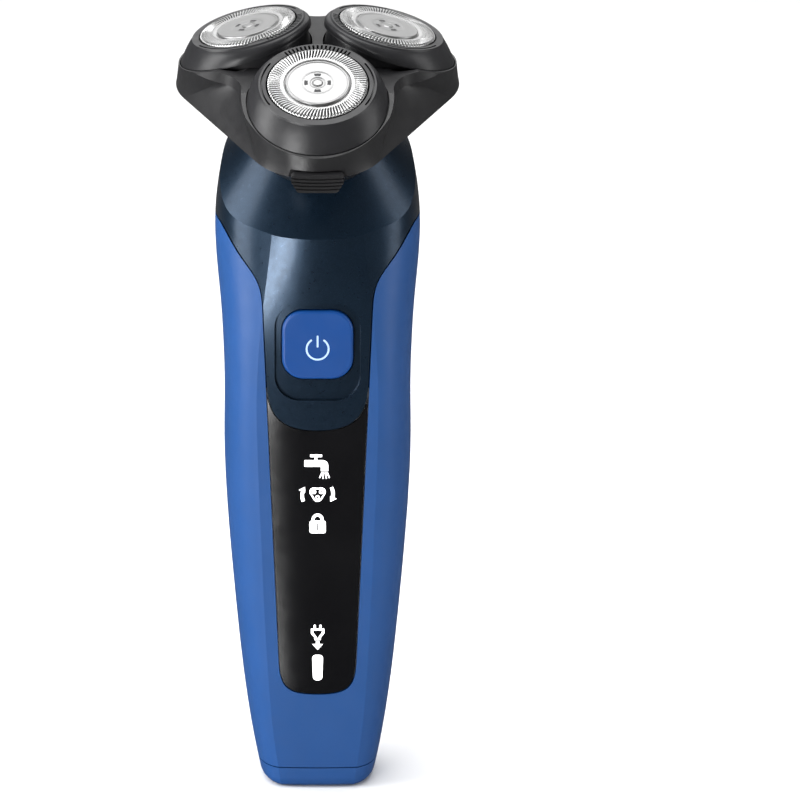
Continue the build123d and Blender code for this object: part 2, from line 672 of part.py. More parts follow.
with BuildPart() as head_frame:
    collar = trefoil(COLLAR_LEVEL, COLLAR_OUT, COLLAR_LOBE, COLLAR_HOLLOW)
    loft([hull(SPLIT + 0.06, FRAME_OUT, FRAME_LOBE), collar])
    loft([collar, trefoil(WEB_TOP, COLLAR_OUT - 0.3, COLLAR_LOBE - 0.3, COLLAR_HOLLOW)])
    add(above([edge_plane(head, -0.05) for head in heads]), mode=Mode.SUBTRACT)
    ceiling = trefoil(HOLLOW_TOP, COLLAR_OUT, COLLAR_LOBE - FRAME_WALL, COLLAR_HOLLOW)
    hollow = loft([hull(SPLIT, FRAME_OUT, FRAME_LOBE - FRAME_WALL), ceiling], mode=Mode.PRIVATE)
    add(hollow - above([head.offset(DECK_FOOT) for head in heads]), mode=Mode.SUBTRACT)
    for head in heads:
        with BuildSketch(edge_plane(head, -BORE_DEPTH)):
            with Locations((EDGE_OFFSET, 0)):
                Circle(EDGE_RADIUS + BORE_GAP)
        extrude(amount=6, mode=Mode.SUBTRACT)
        with BuildSketch(head.offset(-14)):
            Circle(SKIRT_BORE)
        extrude(amount=14, mode=Mode.SUBTRACT)
        pin_hole = Pos(0, 0, RING_PIVOT) * Rot(90, 0, 0) * Cylinder(0.6, 29.2, mode=Mode.PRIVATE)
        add(head.location * pin_hole, mode=Mode.SUBTRACT)
    add(notch, mode=Mode.SUBTRACT)
    add(across(HINGE_V, HINGE_Z, KNUCKLE + 0.3, -4.2, 4.2), mode=Mode.SUBTRACT)
    for x0 in (-8.0, 4.2):
        add(across(HINGE_V, HINGE_Z, KNUCKLE, x0, x0 + 3.8))
        add(across(HINGE_V, HINGE_Z, 0.7, x0 - 1, x0 + 5), mode=Mode.SUBTRACT)
save(HEAD.location * only(head_frame.part), "head_frame")
save(HEAD.location * across(HINGE_V, HINGE_Z, 0.7, -8.0, 8.0), "hinge_pin")

POCKET_FOOT, COVER_FOOT, COVER_TOP = -17.3, -14.6, -13.8
CHAMBER_OUT, CHAMBER_LOBE, CHAMBER_LOW = 15.3, 10.2, -18.6  # the chamber's outside where it meets its boss
CUP_OUT, CUP_LOBE = 17.4, 11.8  # the hair cup's outline at its floor
with BuildPart() as hair_chamber:
    loft([hull(SPLIT - 0.06, FRAME_OUT, FRAME_LOBE - 0.4), hull(CHAMBER_LOW, CHAMBER_OUT, CHAMBER_LOBE)])
    add(rod(Plane.XY, 16, CHAMBER_FOOT, CHAMBER_LOW + 0.1))
    add(rod(Plane.XY, 11, -24, CHAMBER_FOOT))
    loft([hull(SPLIT - 0.06, FRAME_OUT, 12.3), hull(COVER_FOOT, CUP_OUT, CUP_LOBE)], mode=Mode.SUBTRACT)
    with BuildSketch(Plane.XY.offset(POCKET_FOOT)):
        Circle(9.6)
        with PolarLocations(SPINDLE_RADIUS, 3, start_angle=-90):
            Circle(8.9)
    extrude(amount=COVER_FOOT - POCKET_FOOT + 0.1, mode=Mode.SUBTRACT)
    with BuildSketch(Plane.XY.offset(-18.2)):
        with PolarLocations(SPINDLE_RADIUS, 3, start_angle=-90):
            Circle(1.5 + RUN)
    extrude(amount=1.2, mode=Mode.SUBTRACT)
    add(rod(Plane.XY, 9.2, -26, CHAMBER_FOOT), mode=Mode.SUBTRACT)
    add(rod(Plane.XY, 4.0 + RUN, -26, POCKET_FOOT + 1), mode=Mode.SUBTRACT)
    add(tube(Plane.XY, 12, 10.5, -23.0, -21.8), mode=Mode.SUBTRACT)
    add(notch, mode=Mode.SUBTRACT)
    add(block(-2.6, 2.6, -36, -27.4, TAB_LOW - 0.1, -14.8), mode=Mode.SUBTRACT)
    for x0 in (-8.15, 4.05):
        add(across(HINGE_V, HINGE_Z, KNUCKLE + 0.3, x0, x0 + 4.1), mode=Mode.SUBTRACT)
    add(across(HINGE_V, HINGE_Z, KNUCKLE, -4.0, 4.0))
    add(across(HINGE_V, HINGE_Z, 0.7 + RUN, -9, 9), mode=Mode.SUBTRACT)
save(HEAD.location * only(hair_chamber.part), "hair_chamber")
save(tube(HEAD, 11.26, 10.5, -22.9, -21.9), "neck_seal")

with BuildPart() as gear_cover:
    with BuildSketch(Plane.XY.offset(COVER_FOOT)):
        add(hull(0, CUP_OUT - 0.1, CUP_LOBE - 0.2))
    extrude(amount=COVER_TOP - COVER_FOOT)
    with BuildSketch(Plane.XY.offset(COVER_TOP)):
        with PolarLocations(SPINDLE_RADIUS, 3, start_angle=-90):
            Circle(3.2)
    extrude(amount=-9.7 - COVER_TOP)
    with BuildSketch(Plane.XY.offset(COVER_FOOT - 1)):
        with PolarLocations(SPINDLE_RADIUS, 3, start_angle=-90):
            Circle(1.6 + RUN)
    extrude(amount=8, mode=Mode.SUBTRACT)
save(HEAD.location * gear_cover.part, "gear_cover")

with BuildPart() as release_tab:
    with BuildSketch(Plane.XZ.offset(-TAB_REAR)):
        with BuildLine():
            half = [(5.6, TAB_HIGH), (5.4, -13.4), (4.1, TAB_LOW)]
            Polyline(*half, *[(-x, z) for x, z in reversed(half)], close=True)
        made = make_face()
        fillet(made.vertices().group_by(Axis.Z)[0], 0.9)
    extrude(amount=TAB_REAR - TAB_FRONT)
    for z in TAB_RIBS:
        with BuildSketch(Plane.XZ.offset(-TAB_FRONT - 0.35)):
            with BuildLine():
                ThreePointArc((-8, z + 0.5), (0, z - 0.15), (8, z + 0.5))
                ThreePointArc((-8, z + 0.86), (0, z + 0.21), (8, z + 0.86))
                Line((-8, z + 0.5), (-8, z + 0.86))
                Line((8, z + 0.5), (8, z + 0.86))
            make_face()
        extrude(amount=2, mode=Mode.SUBTRACT)
    add(block(-2.5, 2.5, TAB_REAR, -28.2, TAB_LOW, -14.9))
save(HEAD.location * release_tab.part, "release_tab")

# ---- the three floating heads -------------------------------------------------------------------------
RING_BORE, LIP_RADIUS, SKIRT_RADIUS = 10.85, 12.6, 12.55
LIP_FOOT, LIP_TOP = -0.8, -0.45
NOTCH_TURNS = [180 + 4.4 * i for i in range(-8, 9)]
FIN_COUNT = 12
BULGE_TILT, BULGE_RADIUS = radians(3), 13.9  # the section between a ring's lower edge and its lip
BULGE = Plane(
    origin=(0.6, 0, -2.2),
    x_dir=(cos(BULGE_TILT), 0, -sin(BULGE_TILT)),
    z_dir=(sin(BULGE_TILT), 0, cos(BULGE_TILT)),
)

with BuildPart() as ring_carrier:
    add(rod(Plane.XY, SKIRT_RADIUS, -8.2, -2.0))
    with BuildSketch(edge_plane(Plane.XY, -0.3)):
        with Locations((EDGE_OFFSET, 0)):
            Circle(EDGE_RADIUS)
    extrude(amount=0.3)
    with BuildSketch(edge_plane(Plane.XY)):
        with Locations((EDGE_OFFSET, 0)):
            Circle(EDGE_RADIUS)
    with BuildSketch(BULGE):
        Circle(BULGE_RADIUS)
    with BuildSketch(Plane.XY.offset(LIP_FOOT)):
        Circle(LIP_RADIUS)
    loft()
    add(turned(Plane.XY, [(0, LIP_FOOT), (LIP_RADIUS, LIP_FOOT), (LIP_RADIUS - 0.25, LIP_TOP), (0, LIP_TOP)]))
    add(rod(Plane.XY, RING_BORE, -9, 0), mode=Mode.SUBTRACT)
    for turn in NOTCH_TURNS:
        add(Rot(0, 0, turn) * block(10.5, 12.0, -0.22, 0.22, -1.1, 0), mode=Mode.SUBTRACT)
    for turn in (90, -90):
        arc = tube(Plane.XY, 11.95, 11.55, -1.1, 0)
        wedge = Rot(0, 0, turn) * block(9.8, 13, -6.4, 6.4, -2, 1)
        add(arc & wedge, mode=Mode.SUBTRACT)
    for k in (1, -1):
        add(Pos(0, k * 13.35, RING_PIVOT) * Rot(90, 0, 0) * Cylinder(0.55, 2.1, mode=Mode.PRIVATE))
        cap_pin_hole = Pos(k * 11.5, 0, CAP_PIVOT) * Rot(0, 90, 0) * Cylinder(0.55, 1.4, mode=Mode.PRIVATE)
        add(cap_pin_hole, mode=Mode.SUBTRACT)

cap = turned(
    Plane.XY,
    [
        (CAP_RADIUS, -3.0),
        (CAP_RADIUS, -0.4),
        (10.35, -0.12),
        (10.0, 0.0),
        (7.5, -0.1),
        (7.2, -0.55),
        (1.0, -0.55),
        (1.0, -1.05),
        (7.05, -1.05),
        (7.35, -0.6),
        (9.85, -0.5),
        (10.05, -0.7),
        (10.05, -3.0),
    ],
)
with BuildPart() as cap_insert:
    add(
        turned(
            Plane.XY,
            [
                (0, -3.4),
                (1.0, -3.4),
                (1.0, -0.55),
                (6.95, -0.55),
                (6.95, -0.1),
                (6.7, 0.03),
                (6.2, -0.05),
                (0, -0.2),
            ],
        )
    )
    add(tube(Plane.XY, 1.5, 1.1, -0.32, 1), mode=Mode.SUBTRACT)
    for turn in (0, 90, 180, 270):
        add(Rot(0, 0, turn) * block(2.1, 2.8, -0.45, 0.45, -0.4, 1), mode=Mode.SUBTRACT)

with BuildPart() as cap_retainer:
    add(tube(Plane.XY, CAP_RADIUS, 8.4, -4.4, -3.0))
    add(tube(Plane.XY, 10.0, 9.6, -3.0, -2.2))
    for k in (1, -1):
        add(Pos(k * 11.2, 0, CAP_PIVOT) * Rot(0, 90, 0) * Cylinder(0.5, 1.8, mode=Mode.PRIVATE))

with BuildPart() as cutter:
    add(tube(Plane.XY, 9.3, 7.3, -2.0, -1.6))
    for i in range(FIN_COUNT):
        add(Rot(0, 0, 360 / FIN_COUNT * i) * block(7.4, 9.25, -0.28, 0.28, -1.6, -0.7))

with BuildPart() as cutter_carrier:
    add(rod(Plane.XY, 9.0, -2.6, -2.0))
    add(rod(Plane.XY, 2.6, -2.0, -1.25))
    add(rod(Plane.XY, 4.3, -7.4, -2.6))
    add(rod(Plane.XY, 1.0 + RUN, -3.6, 0), mode=Mode.SUBTRACT)
    with BuildSketch(Plane.XY.offset(-7.4)):
        Rectangle(5.0, 5.0)
    extrude(amount=2.2, mode=Mode.SUBTRACT)

for unit in UNIT_ANGLES:
    seat = head_plane(unit).location
    save(seat * ring_carrier.part, f"ring_carrier_{unit}")
    save(seat * cap, f"cap_{unit}")
    save(seat * cap_insert.part, f"cap_insert_{unit}")
    save(seat * cap_retainer.part, f"cap_retainer_{unit}")
    save(seat * cutter.part, f"cutter_{unit}")
    save(seat * cutter_carrier.part, f"cutter_carrier_{unit}")
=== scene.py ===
"""Looks for the rotary electric shaver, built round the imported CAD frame.

Metres, +Z up, and the front faces -Y. Profiles and legends are drawn in millimetres and scaled by MM.
"""

import json
from math import atan2, cos, pi, radians, sin

import bpy
from mathutils import Matrix, Vector


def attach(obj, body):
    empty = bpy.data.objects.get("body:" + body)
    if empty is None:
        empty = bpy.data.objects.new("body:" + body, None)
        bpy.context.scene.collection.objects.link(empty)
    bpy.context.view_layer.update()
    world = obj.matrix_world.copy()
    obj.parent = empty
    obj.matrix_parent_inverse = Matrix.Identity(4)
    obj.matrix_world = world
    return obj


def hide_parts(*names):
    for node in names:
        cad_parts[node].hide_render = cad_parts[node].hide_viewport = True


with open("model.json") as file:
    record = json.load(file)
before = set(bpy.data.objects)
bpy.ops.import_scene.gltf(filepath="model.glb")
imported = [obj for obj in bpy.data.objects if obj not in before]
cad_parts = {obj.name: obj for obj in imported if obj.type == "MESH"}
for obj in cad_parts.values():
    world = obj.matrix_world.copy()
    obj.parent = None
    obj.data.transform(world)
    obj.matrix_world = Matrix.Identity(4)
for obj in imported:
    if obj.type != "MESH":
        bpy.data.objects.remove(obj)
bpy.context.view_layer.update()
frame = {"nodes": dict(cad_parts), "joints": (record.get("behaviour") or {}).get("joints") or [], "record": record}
nodes = frame["nodes"]
MM = 0.001
UNITS = ("front", "right", "left")


# ---- materials ----------------------------------------------------------------------------------------
class Graph:
    """A node material around one Principled shader, with textures in the object's own coordinates."""

    def __init__(self, name, **sockets):
        self.material = bpy.data.materials.new(name)
        self.material.use_nodes = True
        self.tree = self.material.node_tree
        self.shader = self.tree.nodes["Principled BSDF"]
        for socket, value in sockets.items():
            self.shader.inputs[socket.replace("_", " ")].default_value = value
        self.coords = self.tree.nodes.new("ShaderNodeTexCoord").outputs["Object"]

    def node(self, kind, inputs=None, **settings):
        made = self.tree.nodes.new(kind)
        for key, value in settings.items():
            setattr(made, key, value)
        for key, value in (inputs or {}).items():
            if isinstance(value, bpy.types.NodeSocket):
                self.tree.links.new(value, made.inputs[key])
            else:
                made.inputs[key].default_value = value
        return made

    def noise(self, scale, detail=3.0, stretch=None, roughness=0.5):
        vector = self.coords
        if stretch:
            vector = self.node("ShaderNodeMapping", {"Vector": vector, "Scale": stretch}).outputs["Vector"]
        inputs = {"Vector": vector, "Scale": scale, "Detail": detail, "Roughness": roughness}
        return self.node("ShaderNodeTexNoise", inputs).outputs["Fac"]

    def between(self, value, low, high, start=0.3, end=0.7):
        """The value's stretch from start to end turned into low to high."""
        inputs = {"Value": value, "From Min": start, "From Max": end, "To Min": low, "To Max": high}
        return self.node("ShaderNodeMapRange", inputs).outputs["Result"]

    def mix(self, factor, a, b):
        """Colour between a and b, whose sockets on the mix node are numbers 6 and 7."""
        return self.node("ShaderNodeMix", {0: factor, 6: a, 7: b}, data_type="RGBA").outputs[2]

    def feed(self, socket, output):
        self.tree.links.new(output, self.shader.inputs[socket])

    def bump(self, height, strength, distance):
        made = self.node("ShaderNodeBump", {"Height": height, "Strength": strength, "Distance": distance})
        self.feed("Normal", made.outputs["Normal"])


def rgb(r, g, b):
    return (r, g, b, 1.0)


def plastic(name, dark, light, roughness, grain, depth, coat=(0.0, 0.1), specular=0.5, sway=0.055):
    """Moulded plastic: a fine grain, faint cloudiness, and a roughness that varies by sway.

    The colour lies between dark and light, grain is the bumps' scale, depth their height, and coat the clear
    coat's weight and roughness.
    """
    weight, coat_roughness = coat
    g = Graph(name, Coat_Weight=weight, Coat_Roughness=coat_roughness, Specular_IOR_Level=specular)
    cloud = g.noise(60.0, 4.0)
    g.feed("Base Color", g.mix(g.between(cloud, 0.0, 1.0), dark, light))
    g.feed("Roughness", g.between(g.noise(350.0, 5.0), roughness - sway, roughness + sway))
    g.bump(g.noise(grain, 2.0, roughness=0.6), 0.35, depth)
    return g.material


def flake_paint(name):
    """Dark blue metallic lacquer: fine flakes under a clear coat."""
    g = Graph(name, Metallic=0.7, Coat_Weight=0.25, Coat_Roughness=0.2, Roughness=0.34)
    flakes = g.node("ShaderNodeTexVoronoi", {"Vector": g.coords, "Scale": 9000.0}).outputs["Color"]
    grey = g.node("ShaderNodeRGBToBW", {"Color": flakes}).outputs["Val"]
    base = g.mix(g.between(g.noise(45.0), 0.0, 1.0), rgb(0.0060, 0.0175, 0.035), rgb(0.0088, 0.0245, 0.048))
    g.feed("Base Color", g.mix(g.between(grey, 0.0, 0.3, 0.6, 1.0), base, rgb(0.032, 0.072, 0.128)))
    g.feed("Roughness", g.between(g.noise(900.0, 4.0), 0.27, 0.36))
    return g.material


def turned_steel(name, shade, roughness, ring_scale=5200.0, ring_strength=0.25):
    """Steel with fine concentric lines about the object's own z axis."""
    g = Graph(name, Metallic=1.0, Roughness=roughness)
    flat = g.node("ShaderNodeMapping", {"Vector": g.coords, "Scale": (1.0, 1.0, 0.0)}).outputs["Vector"]
    radius = g.node("ShaderNodeVectorMath", {0: flat}, operation="LENGTH").outputs["Value"]
    line = g.node("ShaderNodeCombineXYZ", {"X": radius}).outputs["Vector"]
    inputs = {"Vector": line, "Scale": ring_scale, "Detail": 3.0}
    rings = g.node("ShaderNodeTexNoise", inputs).outputs["Fac"]
    dark, light = [rgb(*(shade * k for _ in range(3))) for k in (0.86, 1.0)]
    g.feed("Base Color", g.mix(g.between(rings, 0.0, 1.0), dark, light))
    g.feed("Roughness", g.between(rings, roughness - 0.05, roughness + 0.08))
    g.bump(rings, ring_strength, 0.00002)
    return g.material


def plain_steel(name, shade, roughness):
    g = Graph(name, Metallic=1.0, Roughness=roughness)
    streaks = g.noise(500.0, 4.0, stretch=(1.0, 1.0, 0.08))
    dark, light = [rgb(*(shade * k for _ in range(3))) for k in (0.8, 1.0)]
    g.feed("Base Color", g.mix(g.between(streaks, 0.0, 1.0), dark, light))
    g.feed("Roughness", g.between(streaks, roughness - 0.05, roughness + 0.1))
    g.bump(streaks, 0.15, 0.00003)
    return g.material


def contact_alloy(name, dark, light, roughness):
    g = Graph(name, Metallic=1.0, Roughness=roughness)
    g.feed("Base Color", g.mix(g.noise(900.0), dark, light))
    return g.material


def glow(name, colour, strength):
    """Lit legend, a little uneven as a diffuser is."""
    g = Graph(name, Roughness=0.35, Emission_Strength=strength)
    patch = g.noise(700.0, 2.0)
    soft = [c * 0.9 for c in colour[:3]]
    tint = g.mix(g.between(patch, 0.0, 1.0), rgb(*soft), colour)
    g.feed("Base Color", tint)
    g.feed("Emission Color", tint)
    return g.material


BLUE_SHELL = plastic(
    "blue_shell", rgb(0.0088, 0.064, 0.226), rgb(0.011, 0.071, 0.250),
    roughness=0.42, grain=5200.0, depth=0.00003, coat=(0.06, 0.3), specular=0.4,
)
HOUSING = flake_paint("housing_lacquer")
GLOSS_BLACK = plastic(
    "display_black", rgb(0.0025, 0.0025, 0.003), rgb(0.004, 0.004, 0.0045),
    roughness=0.11, grain=900.0, depth=0.0000003, specular=0.2, sway=0.01,
)
BUTTON_BLUE = plastic(
    "button_blue", rgb(0.0028, 0.050, 0.220), rgb(0.0042, 0.056, 0.243),
    roughness=0.36, grain=5200.0, depth=0.00002, coat=(0.12, 0.18), specular=0.35,
)
ANTHRACITE = plastic(
    "anthracite", rgb(0.013, 0.013, 0.014), rgb(0.017, 0.017, 0.0185),
    roughness=0.36, grain=4200.0, depth=0.00004, specular=0.55,
)
RING_BLACK = plastic(
    "ring_anthracite", rgb(0.015, 0.015, 0.0165), rgb(0.020, 0.020, 0.022),
    roughness=0.36, grain=4200.0, depth=0.00003, specular=0.45,
)
SOFT_GRIP = plastic(
    "soft_grip", rgb(0.014, 0.018, 0.026), rgb(0.020, 0.025, 0.034),
    roughness=0.62, grain=3000.0, depth=0.00006,
)
INNER = plastic(
    "inner_plastic", rgb(0.50, 0.51, 0.53), rgb(0.60, 0.61, 0.62),
    roughness=0.45, grain=2500.0, depth=0.00003,
)
ACETAL = plastic(
    "gear_acetal", rgb(0.74, 0.73, 0.69), rgb(0.82, 0.81, 0.77),
    roughness=0.38, grain=2500.0, depth=0.00002,
)
BOARD = plastic(
    "board_green", rgb(0.010, 0.12, 0.05), rgb(0.016, 0.17, 0.07),
    roughness=0.35, grain=1800.0, depth=0.00003, coat=(0.4, 0.2),
)
SEAL = plastic(
    "seal_rubber", rgb(0.010, 0.010, 0.010), rgb(0.016, 0.016, 0.016),
    roughness=0.6, grain=2500.0, depth=0.00005,
)
WRAP = plastic(
    "cell_wrap", rgb(0.03, 0.16, 0.10), rgb(0.04, 0.20, 0.13),
    roughness=0.3, grain=1500.0, depth=0.00002, coat=(0.5, 0.1),
)
STEEL = plain_steel("zinc_steel", 0.55, 0.34)
COPPER = contact_alloy("contact_alloy", rgb(0.62, 0.42, 0.20), rgb(0.74, 0.55, 0.30), 0.3)
FOIL_STEEL = turned_steel("foil_steel", 0.74, 0.27)
INSERT_STEEL = turned_steel("insert_steel", 0.46, 0.36, 3800.0, 0.5)
MARK_BLACK = plastic("mark_black", rgb(0.012, 0.012, 0.014), rgb(0.02, 0.02, 0.022), 0.4, 2500.0, 0.00002)
LEGEND = glow("legend_white", rgb(1.0, 1.0, 1.0), 2.4)
POWER_LEGEND = plastic("power_legend", rgb(0.42, 0.60, 0.90), rgb(0.50, 0.68, 0.95), 0.35, 2500.0, 0.00001)

FINISHES = {
    "blue_shell": BLUE_SHELL,
    "dark_housing": HOUSING,
    "display": GLOSS_BLACK,
    "button_blue": BUTTON_BLUE,
    "head_plastic": ANTHRACITE,
    "soft_grip": SOFT_GRIP,
    "steel": STEEL,
    "inner_plastic": INNER,
    "gear_plastic": ACETAL,
    "copper_alloy": COPPER,
    "motor_steel": STEEL,
    "board": BOARD,
    "seal_rubber": SEAL,
    "cell_wrap": WRAP,
}
slot_of = {s["node"]: s["material_slot"] for s in frame["record"]["subparts"]}
for name, node in nodes.items():
    finish = FINISHES[slot_of[name]]
    if name.startswith("ring_carrier"):
        finish = RING_BLACK
    node.data.materials.clear()
    node.data.materials.append(finish)


# ---- mesh helpers -------------------------------------------------------------------------------------
def mesh_object(name, vertices, faces, material, smooth=True):
    mesh = bpy.data.meshes.new(name)
    mesh.from_pydata(vertices, [], faces)
    mesh.update()
    mesh.materials.append(material)
    for polygon in mesh.polygons:
        polygon.use_smooth = smooth
    made = bpy.data.objects.new(name, mesh)
    bpy.context.scene.collection.objects.link(made)
    return made


RIM_ABOVE_SPIN = 3.0  # the cap's rim centre stands this much above the cutter's spin point


def joint_frame(unit):
    """Place of one head's rim centre and its axes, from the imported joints: x outward, z its own axis."""
    spin = next(j for j in frame["joints"] if j["name"] == f"cutter_spin_{unit}")
    tilt = next(j for j in frame["joints"] if j["name"] == f"foil_tilt_{unit}")
    z, x = Vector(spin["axis"]).normalized(), Vector(tilt["axis"]).normalized()
    origin = Vector(spin["pos_m"]) + z * RIM_ABOVE_SPIN * MM
    turn = Matrix((x, z.cross(x), z)).transposed().to_4x4()
    return Matrix.Translation(origin) @ turn


# ---- foils: the slotted steel caps and their middle discs ---------------------------------------------
SLOTS = 90
SLOT_SHARE, SLOT_SKEW = 0.42, radians(4.2)  # of the pitch that is open, and the slant from outer to inner end
FOIL_RADIUS, FOIL_THICKNESS = 10.5, 0.32
SKEW_REACH = 3.0  # how far in from the rim the slant grows
FOIL_PROFILE = [
    (FOIL_RADIUS, -3.0),
    (FOIL_RADIUS, -1.5),
    (FOIL_RADIUS, -0.75),
    (FOIL_RADIUS, -0.4),
    (10.42, -0.18),
    (10.25, -0.05),
    (10.0, 0.0),
    (9.6, 0.03),
    (9.1, 0.02),
    (8.6, -0.02),
    (8.15, -0.08),
    (7.8, -0.14),
    (7.45, -0.20),
    (7.1, -0.28),
    (6.85, -0.42),
    (6.7, -0.55),
    (6.4, -0.56),
]
SLOT_ROWS = range(3, 11)  # the stretches of the profile that the slots run through


def slotted_foil(unit):
    """Steel cap with real slots through its crown, slanted towards its middle."""
    vertices, faces = [], []
    columns = SLOTS * 4
    for i in range(columns):
        slot, part = divmod(i, 4)
        across = (0.0, SLOT_SHARE / 2, SLOT_SHARE, (1 + SLOT_SHARE) / 2)[part]
        for r, w in FOIL_PROFILE:
            reach = max(0.0, min(1.0, (FOIL_RADIUS - r) / SKEW_REACH))
            angle = 2 * pi / SLOTS * (slot + across) + SLOT_SKEW * reach * reach
            vertices.append((r * cos(angle) * MM, r * sin(angle) * MM, w * MM))
    rows = len(FOIL_PROFILE)
    for i in range(columns):
        j = (i + 1) % columns
        for k in range(rows - 1):
            if i % 4 < 2 and k in SLOT_ROWS:
                continue
            faces.append((i * rows + k, j * rows + k, j * rows + k + 1, i * rows + k + 1))
    foil = mesh_object(f"foil_{unit}", vertices, faces, FOIL_STEEL)
    thickness = foil.modifiers.new("thickness", "SOLIDIFY")
    thickness.thickness = FOIL_THICKNESS * MM
    thickness.offset = -1.0
    return foil


INSERT_PROFILE = [
    (6.66, -0.56),
    (6.66, -0.14),
    (6.6, -0.03),
    (6.48, 0.02),
    (6.32, 0.0),
    (6.2, -0.07),
    (5.9, -0.09),
    (5.0, -0.04),
    (4.0, 0.0),
    (3.35, 0.0),
    (3.2, -0.06),
    (3.05, -0.09),
    (2.0, -0.08),
    (1.62, -0.07),
    (1.5, -0.16),
    (1.12, -0.16),
    (1.02, -0.05),
    (0.6, -0.03),
    (0.0, -0.02),
]


def lathe(name, profile, material, steps=96):
    """Surface turned about z from (radius, height) points in millimetres, the last of them on the axis."""
    vertices, faces = [], []
    *ring, (_, middle) = profile
    rows = len(ring)
    for i in range(steps):
        angle = 2 * pi * i / steps
        vertices += [(r * cos(angle) * MM, r * sin(angle) * MM, w * MM) for r, w in ring]
        here, there = i * rows, (i + 1) % steps * rows
        faces += [(here + k, there + k, there + k + 1, here + k + 1) for k in range(rows - 1)]
        faces.append((here + rows - 1, there + rows - 1, steps * rows))
    vertices.append((0, 0, middle * MM))
    return mesh_object(name, vertices, faces, material)


MARK_INNER, MARK_OUTER, MARK_LOW, MARK_HIGH = 2.05, 2.8, -0.14, -0.06
MARK_HALF_ANGLE, MARK_STEPS = radians(16), 6


def insert_marks(unit):
    """Four dark windows round the middle disc's boss."""
    inner = [(MARK_INNER, MARK_LOW), (MARK_INNER, MARK_HIGH)]
    outer = [(MARK_OUTER, MARK_HIGH), (MARK_OUTER, MARK_LOW)]
    vertices, faces = [], []
    for turn in range(4):
        first = len(vertices)
        for s in range(MARK_STEPS + 1):
            a = pi / 2 * turn + MARK_HALF_ANGLE * (2 * s / MARK_STEPS - 1)
            vertices += [(r * cos(a) * MM, r * sin(a) * MM, w * MM) for r, w in inner + outer]
        for s in range(MARK_STEPS):
            for k in range(3):
                a = first + s * 4 + k
                faces.append((a, a + 1, a + 5, a + 4))
        last = len(vertices) - 1
        faces.append((first, first + 1, first + 2, first + 3))
        faces.append((last, last - 1, last - 2, last - 3))
    return mesh_object(f"foil_marks_{unit}", vertices, faces, MARK_BLACK, smooth=False)


for unit in UNITS:
    place = joint_frame(unit)
    foil = slotted_foil(unit)
    disc = lathe(f"foil_disc_{unit}", INSERT_PROFILE, INSERT_STEEL)
    marks = insert_marks(unit)
    for piece in (foil, disc, marks):
        piece.matrix_world = place
        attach(piece, f"foil_{unit}")
    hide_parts(f"cap_{unit}")
    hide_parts(f"cap_insert_{unit}")


# ---- legends on the display and the button ------------------------------------------------------------
# Outlines are (x, z) points in millimetres, as seen from the front.
def arc(x, z, radius, start, end, steps=20):
    """Points round (x, z) from one angle to another, in degrees."""
    angles = [radians(start + (end - start) * i / steps) for i in range(steps + 1)]
    return [(x + radius * cos(a), z + radius * sin(a)) for a in angles]


def rounded(x0, z0, x1, z1, radius, steps=8):
    """Rectangle with rounded corners, anticlockwise from its lower right corner."""
    left, right, low, high = x0 + radius, x1 - radius, z0 + radius, z1 - radius
    corners = ((right, low, -90), (right, high, 0), (left, high, 90), (left, low, 180))
    return [point for x, z, a in corners for point in arc(x, z, radius, a, a + 90, steps)]


def circle(x, z, radius, steps=28):
    return arc(x, z, radius, 0, 360, steps)[:-1]


def stroke(points, width):
    """Outline of a line of that width through the points."""
    left, right = [], []
    for i, (x, z) in enumerate(points):
        x0, z0 = points[max(i - 1, 0)]
        x1, z1 = points[min(i + 1, len(points) - 1)]
        a = atan2(z1 - z0, x1 - x0) + pi / 2
        left.append((x + width / 2 * cos(a), z + width / 2 * sin(a)))
        right.append((x - width / 2 * cos(a), z - width / 2 * sin(a)))
    return left + right[::-1]


def front_y(node, x, z):
    """The y of the node's front surface at (x, z) in millimetres."""
    hit, where, _, _ = node.ray_cast(Vector((x * MM, -0.2, z * MM)), Vector((0, 1, 0)))
    if not hit:
        raise ValueError(f"{node.name} has no surface at {x}, {z}")
    return where.y


def legend(name, outlines, node, body, material, lift=0.05):
    """Thin raised shape on the node's front: outlines are closed, and one inside another is a hole."""
    curve = bpy.data.curves.new(name, "CURVE")
    curve.dimensions = "2D"
    curve.fill_mode = "BOTH"
    curve.extrude = 0.5
    for outline in outlines:
        spline = curve.splines.new("POLY")
        spline.points.add(len(outline) - 1)
        for point, (x, z) in zip(spline.points, outline):
            point.co = (x, z, 0, 1)
        spline.use_cyclic_u = True
    holder = bpy.data.objects.new(name + "_outline", curve)
    bpy.context.scene.collection.objects.link(holder)
    mesh = bpy.data.meshes.new_from_object(holder.evaluated_get(bpy.context.evaluated_depsgraph_get()))
    bpy.data.objects.remove(holder)
    for v in mesh.vertices:
        x, z, out = v.co.x, v.co.y, v.co.z > 0
        v.co = (x * MM, front_y(node, x, z) - (lift if out else -0.05) * MM, z * MM)
    mesh.materials.clear()
    mesh.materials.append(material)
    made = bpy.data.objects.new(name, mesh)
    bpy.context.scene.collection.objects.link(made)
    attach(made, body)
    return made


def both_sides(half, tip=None):
    """Closed outline from its right-hand half, listed from the top down, with or without a tip below."""
    return [(-x, z) for x, z in half] + ([tip] if tip else []) + half[::-1]


bpy.context.view_layer.update()
display, button = nodes["display_panel"], nodes["power_button"]

